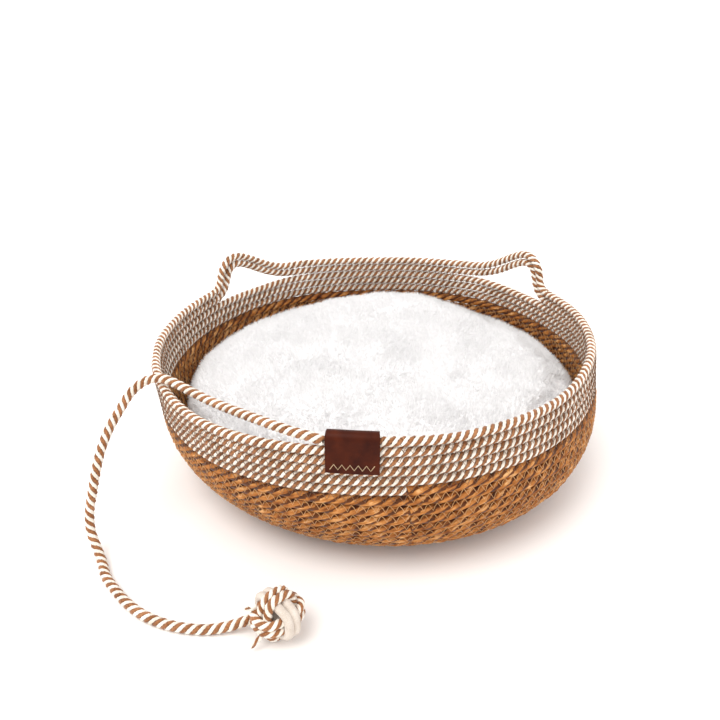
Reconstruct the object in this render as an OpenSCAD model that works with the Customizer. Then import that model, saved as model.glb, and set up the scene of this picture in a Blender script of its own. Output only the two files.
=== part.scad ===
// Coiled rope pet bed: a bowl sewn from one long coil of rope, with two ear
// loops on its rim, a folded leather tag, a rope toy that ends in a ball knot
// and a loose round cushion. The front, with the tag, faces -Y. The origin is
// on the floor, under the middle of the basket.

/* [Bowl] */
// Radius of the rim, measured to the middle of the rope
rim_r = 216; // [212:1:222]
// Height of the middle of the rim rope above the floor
rim_h = 136; // [134:1:140]
// Radius of the curve that turns the wall into the base
bowl_curve = 78; // [74:1:80]
// How far the base sits to the right of the rim, because the soft wall leans
base_shift = 16.5; // [8:0.5:18]
// Tilt of the rim, right side up, in degrees
rim_lean = 1.4; // [0:0.1:1.5]

/* [Ropes] */
// Height that one turn of the cotton rope takes up in the wall
cotton_pitch = 9; // [9:0.1:9.3]
// Radius of the cotton rope as it is sewn into the wall
cotton_r = 4.3; // [4:0.1:4.3]
// Height that one turn of the water hyacinth rope takes up
hyacinth_pitch = 9.8; // [9.8:0.1:10]
// Radius of the water hyacinth rope
hyacinth_r = 4.4; // [4.2:0.05:4.4]
// Radius of the sewing thread
thread_r = 0.5; // [0.3:0.1:0.5]

/* [Ears] */
// Height of the ear loops above the rim
ear_h = 33; // [32:0.5:34]

/* [Tag] */
// Thickness of the leather
leather_t = 1.6; // [1.2:0.1:1.8]
// Height of the tag's front, below the fold
tag_drop = 28; // [24:1:31]
// Width of the tag
tag_w = 42; // [38:1:44]

/* [Toy] */
// Radius of the loose toy rope
toy_r = 4.5; // [4:0.1:4.5]
// Radius of the cord as it is squeezed into the ball knot
knot_r = 3.7; // [3.4:0.1:3.7]

/* [Cushion] */
// Radius of the cushion
cushion_r = 201; // [190:1:201]
// Height of the middle of the cushion's top above the floor
cushion_top_h = 104; // [98:1:108]
// Thickness of the plush cover
plush_t = 3; // [2:0.5:4]

/* [Hidden] */
$fn = 96;

rope_colour = "BurlyWood";
hyacinth_colour = "Peru";
thread_colour = "Tan";
leather_colour = "SaddleBrown";
cream = "Linen";
plush_white = "White";

hyacinth_rows = 14;
cotton_rows = 5;
// The coil starts and ends this many degrees to the right of the front
start_turn = 11.5;
// The two ears are set this many degrees further round to the left
ear_turn = 2;
// Height of the middle of the lowest turn
floor_z = 4.5;
wall_h = rim_h - floor_z - bowl_curve;
// How far right of the origin the rim's middle is: a little to its left
rim_x = -4;
// Distance down the wall, from the rim, of the uppermost hyacinth row
first_hyacinth = (cotton_rows - 0.5) * cotton_pitch + hyacinth_pitch / 2;
// How far out of the wall the sewing lies, in the groove between two rows
groove = 2.8;

// ---- The wall's profile. s is the distance down the wall from the rim ----

// Slope of the wall at s: 0 where it is upright, 90 where it is flat
function slope(s) = max(0, min(90, (s - wall_h) / bowl_curve * 180 / PI));
arc_end = wall_h + bowl_curve * PI / 2;
// Radius and height at s, moved out of the wall by out
function profile(s, out = 0) =
    let (a = slope(s), flat = max(0, s - arc_end))
    [rim_r - bowl_curve * (1 - cos(a)) - flat + out * cos(a),
     (s < wall_h ? rim_h - s : floor_z + bowl_curve * (1 - sin(a)))
     - out * sin(a)];
// How far down the basket a height is, from 0 at the rim to 1 at the floor
function depth(z) = (rim_h - z) / (rim_h - floor_z);
// Point at s on the wall, at the back (side 1) or the front (side -1)
function spot(s, side, out = 0) =
    let (p = profile(s, out))
    [rim_x + base_shift * depth(p[1]), side * p[0], p[1]];
function lean(s) = rim_lean * (1 - depth(profile(s)[1]));

function cotton_s(k) = (cotton_rows - k) * cotton_pitch;
function hyacinth_s(k) = first_hyacinth + (hyacinth_rows - k) * hyacinth_pitch;

// ---- Each turn of the coil is two half rings, and climbs one pitch ----

// Half of the hair's breadth between two half rings, in degrees
joint_gap = 0.03;

// The half ring through points a (front) and b (back), on the left (side 1)
// or right (side -1), between the angles from and to, counted from the back
module half_turn(a, b, side, tilt, r, from = 0, to = 180) {
    d = b - a;
    translate((a + b) / 2)
    rotate([0, -asin(d[2] / norm(d)), atan2(d[1], d[0])])
    rotate([-tilt, 0, 0])
    rotate([0, 0, side > 0 ? from : -to])
    rotate_extrude(angle = to - from)
    translate([norm(d) / 2, 0])
    circle(r);
}

// Turns the coil so that its start is a little to the right of the front
module at_start() {
    translate([rim_x, 0, 0])
    rotate([0, 0, start_turn])
    translate([-rim_x, 0, 0])
    children();
}

// Half of the turn at s. The angles count from straight back, to the side
module part_turn(s, pitch, r, side, from, to, out = 0) {
    at_start()
    half_turn(spot(s + side * pitch / 2, -1, out), spot(s, 1, out), side, lean(s), r,
              max(joint_gap, from - side * start_turn),
              min(180 - joint_gap, to - side * start_turn));
}

// One whole turn at s
module turn(s, pitch, r) {
    part_turn(s, pitch, r, 1, -180, 360);
    part_turn(s, pitch, r, -1, -180, 360);
}

// The middle of the rope of the turn at s, deg to the left of straight back
function on_turn(s, pitch, deg) =
    let (phi = deg - start_turn,
         a = spot(s + (phi < 0 ? -1 : 1) * pitch / 2, -1),
         b = spot(s, 1),
         u = unit(b - a),
         level = unit([-u[1], u[0], 0]),
         across = level * cos(lean(s)) - cross(u, level) * sin(lean(s)),
         p = (a + b) / 2 + norm(b - a) / 2 * (u * cos(phi) + across * sin(phi)),
         x = p[0] - rim_x)
    [rim_x + x * cos(start_turn) - p[1] * sin(start_turn),
     x * sin(start_turn) + p[1] * cos(start_turn),
     p[2]];

// ---- Ropes that leave the coil: a tube swept along a smooth line ----

function unit(v) = v / norm(v);
function between(p, i, t) =
    (2 * p[i] + (p[i + 1] - p[i - 1]) * t
     + (2 * p[i - 1] - 5 * p[i] + 4 * p[i + 1] - p[i + 2]) * t * t
     + (3 * p[i] - 3 * p[i + 1] + p[i + 2] - p[i - 1]) * t * t * t) / 2;
// The line from the second point to the last but one, in steps of 1/n
function smooth_line(p, n) =
    [for (i = [1 : len(p) - 3], j = [0 : n - 1]) between(p, i, j / n), p[len(p) - 2]];
// A sideways direction that is carried along the line without twisting
function carried(dirs, last, i = 0) =
    i == len(dirs) ? [] :
    let (side = unit(last - dirs[i] * (last * dirs[i])))
    concat([side], carried(dirs, side, i + 1));

module tube(line, r, sides) {
    n = len(line);
    dirs = [for (i = [0 : n - 1]) unit(line[min(i + 1, n - 1)] - line[max(i - 1, 0)])];
    across = carried(dirs, [0, 0, 1]);
    points = [
        for (i = [0 : n - 1], k = [0 : sides - 1])
        let (t = 360 * k / sides)
        line[i] + r * (across[i] * cos(t) + cross(dirs[i], across[i]) * sin(t))
    ];
    wall = [
        for (i = [0 : n - 2], k = [0 : sides - 1])
        let (a = i * sides + k, b = i * sides + (k + 1) % sides)
        each [[a, a + sides, b], [b, a + sides, b + sides]]
    ];
    start = [for (k = [0 : sides - 1]) k];
    end = [for (k = [0 : sides - 1]) n * sides - 1 - k];
    polyhedron(points, concat([start, end], wall));
}

// ---- Basket ----

module hyacinth_row(k) {
    color(hyacinth_colour)
    turn(hyacinth_s(k), hyacinth_pitch, hyacinth_r);
}

module cotton_row(k) {
    color(rope_colour)
    turn(cotton_s(k), cotton_pitch, cotton_r);
}

// The flat middle of the base, wound from the same rope, pressed level below
module base_coil() {
    base_r = 126;
    coil_r = 4.4;
    middle_z = 4;
    turns = 15;
    color(hyacinth_colour)
    at_start()
    translate([rim_x + base_shift, 0, 0])
    rotate_extrude()
    intersection() {
        union() {
            for (i = [0 : turns - 1])
                translate([i * base_r / (turns - 1), middle_z])
                circle(coil_r);
            translate([0, 2])
            square([base_r, 4]);
        }
        square([base_r + coil_r, middle_z + coil_r]);
    }
}

// ---- Ears. Each point is [angle from the back, height above its own row] ----

// The top row's loop, from the ear's steep side to its long sloping side
upper_loop = [
    [67, 0], [62, 0], [59.4, 2.8], [58.1, 9], [57.4, 18], [56.2, 25.4], [54.6, 30.3],
    [52.8, 32.8], [50.7, 32.8], [48.3, 30], [44.9, 23.2], [41.4, 15], [38.2, 8],
    [35, 2.9], [31.5, 0.3], [27.2, 0], [21, 0]
];
// The loop of the row below it, close inside the first
lower_loop = [
    [66, 0], [60.8, 0], [59.2, 2], [57.4, 6], [56.2, 12], [55.4, 19.5], [54.7, 26.4],
    [53.4, 31.3], [51.8, 33], [50.1, 31.3], [48, 27.8], [45, 21.2], [41.9, 13.9],
    [39, 7.8], [36.3, 3.6], [33.4, 0.8], [30, 0], [26, 0], [21, 0]
];
function loop_of(k) = k == cotton_rows ? upper_loop : lower_loop;
// Where a row stops at an ear: a hair's breadth before its loop starts
function ear_far(k, side) = loop_of(k)[1][0] + 0.1 + side * ear_turn;
function ear_near(k, side) =
    loop_of(k)[len(loop_of(k)) - 2][0] - 0.1 + side * ear_turn;
function loop_line(k, side) =
    smooth_line([for (p = loop_of(k))
                 on_turn(cotton_s(k), cotton_pitch, side * p[0] + ear_turn)
                 + [0, 0, p[1] * ear_h / 33]], 4);

module ear(side) {
    color(rope_colour)
    for (k = [cotton_rows - 1, cotton_rows])
        tube(loop_line(k, side), cotton_r, 16);
}

// One of the two top rows, which leave the wall at each ear
module open_cotton_row(k) {
    color(rope_colour)
    for (side = [-1, 1]) {
        part_turn(cotton_s(k), cotton_pitch, cotton_r, side, -180, ear_near(k, side));
        part_turn(cotton_s(k), cotton_pitch, cotton_r, side, ear_far(k, side), 360);
    }
}

// ---- Sewing ----

// Thread in the groove above the row at s
module thread(s, pitch, side, from = -180, to = 360) {
    color(thread_colour)
    part_turn(s - pitch / 2, pitch, thread_r, side, from, to, groove);
}

module hyacinth_thread() {
    for (k = [1 : hyacinth_rows - 1], side = [-1, 1])
        thread(hyacinth_s(k), hyacinth_pitch, side);
}

module cotton_thread() {
    for (side = [-1, 1]) {
        for (k = [1 : cotton_rows - 3])
            thread(cotton_s(k), cotton_pitch, side);
        for (k = [cotton_rows - 2, cotton_rows - 1]) {
            thread(cotton_s(k), cotton_pitch, side, -180, ear_near(cotton_rows, side) - 1);
            thread(cotton_s(k), cotton_pitch, side, ear_far(cotton_rows, side) + 1, 360);
        }
    }
}

// ---- Tag, and the end of the coil below it ----

// Angle of the tag's middle to the right of the front, and half its width
tag_middle = 1.1;
tag_half = tag_w / rim_r * 90 / PI;
// Room between the rope and the leather
tag_room = 0.6;
top_row = cotton_s(cotton_rows + 1);
end_z = rim_h + cotton_pitch / 2;
// Height of the middle of the tag's round fold
fold_z = end_z + 1.5;

module rim_end() {
    color(rope_colour)
    part_turn(top_row, cotton_pitch, cotton_r, 1, 180 + tag_middle - tag_half, 360);
}

module on_front(deg) {
    translate([rim_x + base_shift * depth(fold_z - tag_drop / 2), 0, 0])
    rotate([0, 0, deg - 90])
    children();
}

// Outline of the folded leather, with a round top
module fold(r) {
    circle(r);
    translate([-r, -tag_drop])
    square([2 * r, tag_drop]);
}

module leather_tag() {
    inside = cotton_r + tag_room;
    color(leather_colour)
    on_front(tag_middle - tag_half)
    rotate_extrude(angle = 2 * tag_half)
    translate([rim_r, fold_z])
    difference() {
        fold(inside + leather_t);
        fold(inside);
        translate([-inside, -tag_drop - 1])
        square([2 * inside, tag_drop]);
    }
}

// A zigzag of thread along the tag's lower edge, outside and inside. A stitch
// goes down through the leather, so its ends are a hair short of the next one
module tag_stitches() {
    stitch_r = 0.4;
    zigzags = 11;
    stitch_h = 5;
    low = fold_z - tag_drop + 3.5;
    step = (2 * tag_half - 2) / zigzags;
    slant = atan2(step / 180 * PI * rim_r, stitch_h);
    face = cotton_r + tag_room + leather_t + stitch_r + 0.1;
    color(cream)
    for (side = [-1, 1], i = [0 : zigzags - 1])
        on_front(tag_middle - tag_half + 1 + (i + 0.5) * step)
        translate([rim_r + side * face, 0, low + stitch_h / 2])
        rotate([(i % 2 * 2 - 1) * slant, 0, 0])
        cylinder(r = stitch_r, h = stitch_h / cos(slant) - 1.2, center = true, $fn = 16);
}

// ---- Rope toy ----

knot_at = [-51, -280.5, 23];
toy_route = [
    [-2.5, -215.4, 140.5],
    on_turn(top_row, cotton_pitch, 180 + tag_middle - tag_half),
    [-33.5, -212.5, 140.8], [-49.5, -205.5, 141], [-66.5, -195.5, 140.8], [-83, -184.5, 140.2],
    [-99.5, -173, 139.4], [-116, -161.5, 138.6], [-133.5, -150, 138.2], [-150.5, -139, 138.3],
    [-167.5, -128.5, 138.6], [-183.5, -121, 138.7], [-198.5, -120, 134.7], [-211, -126, 126.2],
    [-219.5, -138, 113.5], [-225.5, -153, 102], [-229, -168, 89], [-231, -180, 74],
    [-234, -187, 56], [-237.5, -191.5, 38], [-236, -198, 22], [-228.5, -207, 10.5],
    [-220, -218.5, 5.2], [-210.5, -234.5, 4.6], [-196.5, -249.5, 4.6], [-180.5, -264, 4.6],
    [-162.5, -275.5, 4.6], [-143.5, -282.5, 4.6], [-124.5, -285.5, 4.6], [-106.5, -285, 4.8],
    [-90.5, -281.5, 6.5], [-77.5, -278, 10], [-68, -276.5, 13], [-59.5, -276, 15]
];

module toy_rope() {
    color(rope_colour)
    tube(smooth_line(toy_route, 2), toy_r, 12);
}

// Half length, half width and corner radius of a loop of the knot
loop_long = 19.2;
loop_short = 11.6;
loop_corner = 6;
knot_turn = -40;

// A closed loop of cord with round corners, long along X and short along Y
module knot_loop() {
    for (x = [-1, 1]) {
        translate([x * loop_long, 0, 0])
        rotate([90, 0, 0])
        cylinder(r = knot_r, h = 2 * (loop_short - loop_corner), center = true);
        translate([0, x * loop_short, 0])
        rotate([0, 90, 0])
        cylinder(r = knot_r, h = 2 * (loop_long - loop_corner), center = true);
    }
    for (i = [0 : 3])
        translate([(i == 0 || i == 3 ? 1 : -1) * (loop_long - loop_corner),
                   (i < 2 ? 1 : -1) * (loop_short - loop_corner), 0])
        rotate([0, 0, 90 * i])
        rotate_extrude(angle = 90)
        translate([loop_corner, 0])
        circle(knot_r);
}

// Two turns of cord side by side
module knot_pair(turned) {
    translate(knot_at)
    rotate([0, 0, knot_turn])
    rotate(turned)
    for (z = [-1, 1])
        translate([0, 0, z * (knot_r + 0.2)])
        knot_loop();
}

module knot_core() {
    color(cream)
    translate(knot_at)
    sphere(loop_short - knot_r - 0.3);
}

module knot_wrap_1() {
    color(rope_colour) knot_pair([0, -90, 0]);
}

module knot_wrap_2() {
    color(rope_colour) knot_pair([0, 0, 90]);
}

module knot_cream_wrap() {
    color(cream) knot_pair([90, 0, 0]);
}

// The rope's two ends, unlaid strands that stick out between the turns
module knot_end_curl() {
    color(rope_colour)
    tube(smooth_line([[-54.5, -280, 26], [-63.5, -284, 29], [-69.5, -287, 31.5],
                      [-73.5, -290, 35], [-71.5, -292, 38], [-66.5, -292, 39]], 3), 2.2, 12);
}

module knot_end_point() {
    color(rope_colour)
    tube(smooth_line([[-52.5, -288, 18], [-60.5, -294, 13], [-65.5, -298, 8.5],
                      [-69.5, -301, 4], [-72.5, -303, 0]], 3), 2.2, 12);
}

// ---- Cushion ----

cushion_x = 7;
cushion_floor = 10;
seam_z = 62;
// Radius of the flat part below, and of the crowned part above
flat_r = 124;
crown_r = 188;
crown_z = 94;

// Outline of the cushion's section, drawn in by inset
function cushion_outline(inset) = concat(
    [[0, cushion_floor + inset]],
    [for (t = [-90 : 10 : 0])
        [flat_r + (cushion_r - inset - flat_r) * cos(t),
         seam_z + (seam_z - cushion_floor - inset) * sin(t)]],
    [for (t = [15 : 15 : 90])
        [crown_r + (cushion_r - inset - crown_r) * cos(t),
         seam_z + (crown_z - inset - seam_z) * sin(t)]],
    [for (f = [0.8 : -0.2 : 0])
        [crown_r * f, crown_z - inset + (cushion_top_h - crown_z) * (1 - f * f)]]
);

module cushion_solid(outer, inner, low, high) {
    translate([cushion_x, 0, 0])
    rotate_extrude()
    difference() {
        intersection() {
            polygon(cushion_outline(outer));
            translate([0, low])
            square([cushion_r + 1, high - low]);
        }
        polygon(cushion_outline(inner));
        translate([cushion_r - seam_in, seam_z])
        circle(0.7);
    }
}
lining_t = 1.5;
seam_in = 1;
fill_gap = 0.3;

module cushion_top() {
    color(plush_white)
    cushion_solid(0, plush_t, seam_z + 0.1, cushion_top_h + 1);
}

module cushion_bottom() {
    color(cream)
    cushion_solid(0, lining_t, 0, seam_z - 0.1);
}

module cushion_filling() {
    color(cream)
    translate([cushion_x, 0, 0])
    rotate_extrude()
    polygon(cushion_outline(plush_t + fill_gap));
}

// The thread that sews the two covers together
module cushion_seam() {
    color(cream)
    translate([cushion_x, 0, seam_z])
    rotate_extrude()
    translate([cushion_r - seam_in, 0])
    circle(0.5);
}

base_coil();
hyacinth_row(1);  // hyacinth_row_1
hyacinth_row(2);  // hyacinth_row_2
hyacinth_row(3);  // hyacinth_row_3
hyacinth_row(4);  // hyacinth_row_4
hyacinth_row(5);  // hyacinth_row_5
hyacinth_row(6);  // hyacinth_row_6
hyacinth_row(7);  // hyacinth_row_7
hyacinth_row(8);  // hyacinth_row_8
hyacinth_row(9);  // hyacinth_row_9
hyacinth_row(10);  // hyacinth_row_10
hyacinth_row(11);  // hyacinth_row_11
hyacinth_row(12);  // hyacinth_row_12
hyacinth_row(13);  // hyacinth_row_13
hyacinth_row(14);  // hyacinth_row_14
cotton_row(1);  // cotton_row_1
cotton_row(2);  // cotton_row_2
cotton_row(3);  // cotton_row_3
open_cotton_row(4);  // cotton_row_4
open_cotton_row(5);  // cotton_row_5
rim_end();
ear(1);  // ear_left
ear(-1);  // ear_right
hyacinth_thread();
cotton_thread();
leather_tag();
tag_stitches();
toy_rope();
knot_core();
knot_wrap_1();
knot_wrap_2();
knot_cream_wrap();
knot_end_curl();
knot_end_point();
cushion_top();
cushion_bottom();
cushion_filling();
cushion_seam();
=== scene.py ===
# %% [markdown]
# # A coiled rope pet bed
# The basket is one long rope, sewn to itself turn by turn: thick water
# hyacinth rope for the base and the lower wall, then two-colour cotton rope
# for the rim, which leaves the wall twice to make the ears. The frame from
# the CAD model is loaded first, and every piece below is built around it.

# %% Load the frame
import math
import random
import bmesh
import bpy
import numpy as np
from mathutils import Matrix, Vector, noise


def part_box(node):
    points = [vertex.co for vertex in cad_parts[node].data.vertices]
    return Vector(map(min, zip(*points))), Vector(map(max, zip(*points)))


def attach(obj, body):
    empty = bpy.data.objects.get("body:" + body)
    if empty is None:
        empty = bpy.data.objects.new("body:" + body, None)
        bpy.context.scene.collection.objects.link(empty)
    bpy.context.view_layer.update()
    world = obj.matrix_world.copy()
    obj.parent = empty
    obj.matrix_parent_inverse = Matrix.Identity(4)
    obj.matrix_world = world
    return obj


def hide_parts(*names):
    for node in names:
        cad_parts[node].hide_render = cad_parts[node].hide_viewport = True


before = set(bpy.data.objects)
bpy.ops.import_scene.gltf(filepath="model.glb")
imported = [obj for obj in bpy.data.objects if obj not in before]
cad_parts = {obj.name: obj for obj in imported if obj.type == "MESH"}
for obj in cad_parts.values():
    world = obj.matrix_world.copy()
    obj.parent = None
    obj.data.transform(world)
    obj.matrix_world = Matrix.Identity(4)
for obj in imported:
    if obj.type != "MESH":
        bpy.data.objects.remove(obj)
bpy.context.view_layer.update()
MM = 0.001

# %% [markdown]
# ## Camera
# The camera looks down on the front of the basket from a little to the
# right, which decides how the ropes overlap in the picture, so it comes first.

# %% Camera
camera_data = bpy.data.cameras.new("camera")
camera_data.lens = 40.55
camera_data.sensor_width = 36
camera = bpy.data.objects.new("camera", camera_data)
bpy.context.scene.collection.objects.link(camera)
camera.location = (0.0622, -0.7436, 0.4866)
aim = Vector((-0.0149, -0.0097, 0.1089)) - camera.location
camera.rotation_euler = aim.to_track_quat("-Z", "Y").to_euler()
bpy.context.scene.camera = camera
print("camera is", round(aim.length, 3), "m from the basket")

# %% [markdown]
# ## Finishes
# A rope is matt and fibrous. Each finish takes its colour from noise on the
# piece's own UV map, where u runs along a strand in millimetres and v runs
# around it, so that streaks follow the strand, and the same noise drives a
# bump. Numbers that are the same everywhere sit on the shader's own sockets.

# %% A fibrous finish
def colour(r, g, b):
    """A colour given as it looks on a screen, from 0 to 255."""
    return tuple((c / 255) ** 2.2 for c in (r, g, b)) + (1,)


def fibre_finish(name, tones, stretch, rough=0.85, bump=0.3, sheen=0.2, deep=0.0006):
    """tones are colours from dark to light. stretch scales the noise along and around."""
    material = bpy.data.materials.new(name)
    material.use_nodes = True
    tree = material.node_tree
    shader = tree.nodes["Principled BSDF"]
    shader.inputs["Roughness"].default_value = rough
    shader.inputs["Sheen Weight"].default_value = sheen
    shader.inputs["Sheen Roughness"].default_value = 0.5
    shader.inputs["Specular IOR Level"].default_value = 0.25
    where = tree.nodes.new("ShaderNodeUVMap")
    where.uv_map = "UVMap"
    scaled = tree.nodes.new("ShaderNodeMapping")
    scaled.inputs["Scale"].default_value = (stretch[0], stretch[1], 1)
    streaks = tree.nodes.new("ShaderNodeTexNoise")
    streaks.inputs["Scale"].default_value = 1
    streaks.inputs["Detail"].default_value = 4
    tree.links.new(where.outputs["UV"], scaled.inputs["Vector"])
    tree.links.new(scaled.outputs["Vector"], streaks.inputs["Vector"])
    place = tree.nodes.new("ShaderNodeTexCoord")
    patches = tree.nodes.new("ShaderNodeTexNoise")
    patches.inputs["Scale"].default_value = 90
    patches.inputs["Detail"].default_value = 3
    tree.links.new(place.outputs["Object"], patches.inputs["Vector"])
    blend = tree.nodes.new("ShaderNodeMath")
    blend.operation = "ADD"
    tree.links.new(streaks.outputs["Fac"], blend.inputs[0])
    tree.links.new(patches.outputs["Fac"], blend.inputs[1])
    half = tree.nodes.new("ShaderNodeMath")
    half.operation = "MULTIPLY"
    half.inputs[1].default_value = 0.5
    tree.links.new(blend.outputs[0], half.inputs[0])
    ramp = tree.nodes.new("ShaderNodeValToRGB")
    stops = ramp.color_ramp.elements
    low, high = 0.36, 0.64
    while len(stops) < len(tones):
        stops.new(0.5)
    for i, tone in enumerate(tones):
        stops[i].position = low + (high - low) * i / (len(tones) - 1)
        stops[i].color = tone
    tree.links.new(half.outputs[0], ramp.inputs["Fac"])
    tree.links.new(ramp.outputs["Color"], shader.inputs["Base Color"])
    relief = tree.nodes.new("ShaderNodeBump")
    relief.inputs["Strength"].default_value = bump
    relief.inputs["Distance"].default_value = deep
    tree.links.new(streaks.outputs["Fac"], relief.inputs["Height"])
    tree.links.new(relief.outputs["Normal"], shader.inputs["Normal"])
    return material


cotton_tan = fibre_finish(
    "tan cotton",
    [colour(114, 70, 40), colour(148, 98, 62), colour(172, 120, 82)],
    (0.9, 5), bump=0.6)
cotton_white = fibre_finish(
    "white cotton",
    [colour(214, 202, 186), colour(238, 230, 218), colour(250, 245, 236)],
    (0.9, 5), bump=0.6)
# Painted shade: the heart of the cotton ropes is dark brown so that the grooves between the tan
# and white strands look shaded.
rope_heart_painted_shade = fibre_finish(
    "rope heart painted shade", [colour(44, 24, 12), colour(80, 48, 28)], (0.9, 5), bump=0.3)
hyacinth_brown = fibre_finish(
    "water hyacinth",
    [colour(94, 46, 14), colour(154, 94, 44), colour(186, 121, 62), colour(222, 170, 114)],
    (0.09, 7), rough=0.65, bump=1.0, sheen=0.0, deep=0.0016)
# Painted shade: the hyacinth rope's heart is dark brown so that the gaps between its bundles look
# shaded.
hyacinth_painted_shade = fibre_finish(
    "water hyacinth painted shade", [colour(58, 28, 10), colour(108, 62, 28)], (0.09, 7), bump=0.6)
thread_tan = fibre_finish(
    "tan thread", [colour(178, 126, 76), colour(214, 166, 112)], (0.8, 3), rough=0.6)
thread_dark = fibre_finish(
    "brown thread", [colour(96, 66, 42), colour(136, 98, 66)], (0.8, 3), rough=0.7)
thread_cream = fibre_finish(
    "cream thread", [colour(186, 156, 118), colour(220, 194, 156)], (0.8, 3), rough=0.6)
cord_cream = fibre_finish(
    "cream cotton",
    [colour(196, 182, 168), colour(214, 202, 190), colour(226, 217, 208)],
    (1.6, 30), bump=0.9)
print("rope finishes:", len(bpy.data.materials))

# %% [markdown]
# ## The path of the coil
# Each turn of the coil is two half rings. Both run from a point at the front
# to a point at the back, and the left one starts half a row lower and ends
# level with the right one, so that the rope climbs one row per turn. Real
# rope walls are never quite even, so a few gentle pulls then lift the rim by
# the tag and the ears, and let it sag between them. Everything at the rim,
# the tag and the toy rope too, goes through the same pulls and stays together.

# %% The coil's numbers, in millimetres
RIM_R, RIM_H, CURVE = 216.0, 136.0, 78.0
SHIFT, LEAN, FLOOR = 16.5, 1.4, 4.5
COTTON, HYACINTH = 9.0, 9.8
COTTON_R, HYACINTH_R = 4.5, 4.9
COTTON_ROWS, HYACINTH_ROWS = 5, 14
START = 11.5
RIM_X = -4.0
EAR_TURN = 2.0
WALL = RIM_H - FLOOR - CURVE
ARC_END = WALL + CURVE * math.pi / 2
FIRST = (COTTON_ROWS - 0.5) * COTTON + HYACINTH / 2


def cotton_s(k):
    return (COTTON_ROWS - k) * COTTON


def hyacinth_s(k):
    return FIRST + (HYACINTH_ROWS - k) * HYACINTH


# %% A point on the coil
def profile(s):
    """Radius and height at s millimetres down the wall from the rim."""
    a = math.radians(max(0, min(90, math.degrees((s - WALL) / CURVE))))
    z = RIM_H - s if s < WALL else FLOOR + CURVE * (1 - math.sin(a))
    return RIM_R - CURVE * (1 - math.cos(a)) - max(0, s - ARC_END), z


def spot(s, side):
    r, z = profile(s)
    return np.array([RIM_X + SHIFT * (RIM_H - z) / (RIM_H - FLOOR), side * r, z])


def unit(v):
    return v / np.linalg.norm(v)


# Each pull is (angle to the left of the back, spread in degrees, up, outwards).
# The pulls fade out down the wall.
PULLS = [(181, 17, 4.2, 0), (140, 14, -3, 0), (232, 14, -3, 0), (3, 16, -2.4, 0),
         (33, 9, 2.5, 0), (329, 9, 2.5, 0), (75, 28, 0, -3.5), (300, 14, 0, -1.5)]


def pulled(p):
    """A point at the rim, in millimetres, after the pulls on the soft wall."""
    x, y, z = p
    deg = math.degrees(math.atan2(RIM_X - x, y))
    share = min(1.1, max(0, z / RIM_H) ** 1.5)
    up = out = 0
    for at, spread, lift, push in PULLS:
        near = math.exp(-(((deg - at + 180) % 360 - 180) / spread) ** 2) * share
        up, out = up + near * lift, out + near * push
    far = math.hypot(x - RIM_X, y)
    return np.array([x + out * (x - RIM_X) / far, y + out * y / far, z + up])


def on_turn(s, pitch, deg):
    """The middle of the rope of the turn at s, deg to the left of straight back."""
    phi = math.radians(deg - START)
    a, b = spot(s + (-1 if phi < 0 else 1) * pitch / 2, -1), spot(s, 1)
    u = unit(b - a)
    level = unit(np.array([-u[1], u[0], 0]))
    lean = math.radians(LEAN * (1 - (RIM_H - profile(s)[1]) / (RIM_H - FLOOR)))
    across = level * math.cos(lean) - np.cross(u, level) * math.sin(lean)
    half = np.linalg.norm(b - a) / 2
    p = (a + b) / 2 + half * (u * math.cos(phi) + across * math.sin(phi))
    c, d = math.cos(math.radians(START)), math.sin(math.radians(START))
    x = p[0] - RIM_X
    return pulled((RIM_X + x * c - p[1] * d, x * d + p[1] * c, p[2]))


def one_turn(s, pitch, first=START - 180, last=START + 180, step=0.8):
    """Points along a turn, from its start right of the front, leftwards round the back."""
    count = max(2, int(abs(last - first) / step))
    return [on_turn(s, pitch, last - (last - first) * i / count) for i in range(count + 1)]


print("rim", round(2 * RIM_R / 1000, 3), "m across, start of the wall", profile(0))

# %% [markdown]
# ## Twisted rope
# A rope is modelled as what it is: strands that wind around a middle line.
# Each strand is a round tube, its line worked out from the middle line, and
# a curve with a bevel sweeps the tube. A whole rope becomes one mesh, with a
# material slot for each colour of strand.

# %% Sweep tubes along lines
def sweep(name, lines, radius, slots, materials, sides=8, closed=False, widths=None):
    """One mesh of round tubes along lines, in millimetres. slots picks each one's material."""
    data = bpy.data.curves.new(name, "CURVE")
    data.dimensions = "3D"
    data.bevel_depth = radius * MM
    data.bevel_resolution = sides // 2 - 2
    data.use_fill_caps = not closed
    for material in materials:
        data.materials.append(material)
    for number, (line, slot) in enumerate(zip(lines, slots)):
        spline = data.splines.new("POLY")
        spline.points.add(len(line) - 1)
        co = np.ones((len(line), 4))
        co[:, :3] = np.asarray(line) * MM
        spline.points.foreach_set("co", co.ravel())
        if widths is not None:
            spline.points.foreach_set("radius", np.asarray(widths[number], float))
        spline.material_index = slot
        spline.use_cyclic_u = closed
        spline.use_smooth = True
    curve = bpy.data.objects.new(name, data)
    bpy.context.scene.collection.objects.link(curve)
    bpy.context.view_layer.update()
    graph = bpy.context.evaluated_depsgraph_get()
    mesh = bpy.data.meshes.new_from_object(curve.evaluated_get(graph))
    mesh.name = name
    bpy.data.objects.remove(curve)
    for vertex in mesh.vertices:
        vertex.co.z = max(vertex.co.z, 0)
    along = np.linalg.norm(np.diff(np.asarray(lines[0]), axis=0), axis=1).sum()
    if mesh.uv_layers:
        layer = mesh.uv_layers[0]
        layer.name = "UVMap"
        uv = np.zeros(2 * len(layer.uv))
        layer.uv.foreach_get("vector", uv)
        uv = uv.reshape(-1, 2)
        uv[:, 0] *= along
        layer.uv.foreach_set("vector", uv.ravel())
    piece = bpy.data.objects.new(name, mesh)
    bpy.context.scene.collection.objects.link(piece)
    mesh.shade_smooth()
    return piece


# %% Lay strands around a line
def directions(line, closed=False):
    line = np.asarray(line)
    if closed:
        d = np.roll(line, -1, 0) - np.roll(line, 1, 0)
    else:
        d = np.gradient(line, axis=0)
    return d / np.linalg.norm(d, axis=1)[:, None]


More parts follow.
